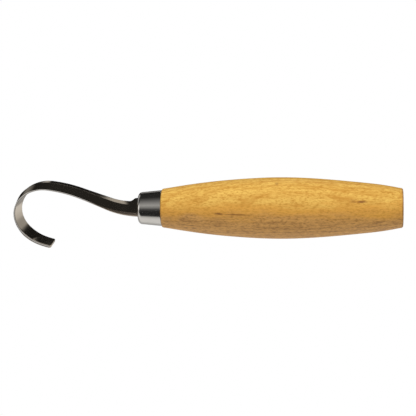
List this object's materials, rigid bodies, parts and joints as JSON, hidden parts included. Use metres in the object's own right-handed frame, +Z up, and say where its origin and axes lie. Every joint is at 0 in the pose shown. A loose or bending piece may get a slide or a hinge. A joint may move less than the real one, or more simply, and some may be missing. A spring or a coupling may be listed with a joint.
{
  "type": "hook knife",
  "caption": "Carving hook knife: a narrow steel strip bent into an open hook, with one outer bevel, held by a plated ferrule in a turned barrel-shaped wooden handle.",
  "frame": {"origin": "centre of the knife's bounding box in X and Y, at the surface it lies on", "axes": "+X along the knife from the hook towards the butt, +Y in the plane of the hook away from its opening, +Z up, with the knife lying on its belly and the hook's spine edge"},
  "size_m": [0.1702, 0.0308, 0.0281],
  "materials": {
    "blade_steel": "ground and polished stainless steel",
    "plated_metal": "bright nickel plate",
    "handle_wood": "oiled birch",
    "adhesive": "cured tang adhesive"
  },
  "bodies": {
    "root": {"blade": "blade_steel", "ferrule": "plated_metal", "handle": "handle_wood", "tang_adhesive": "adhesive"}
  },
  "joints": []
}
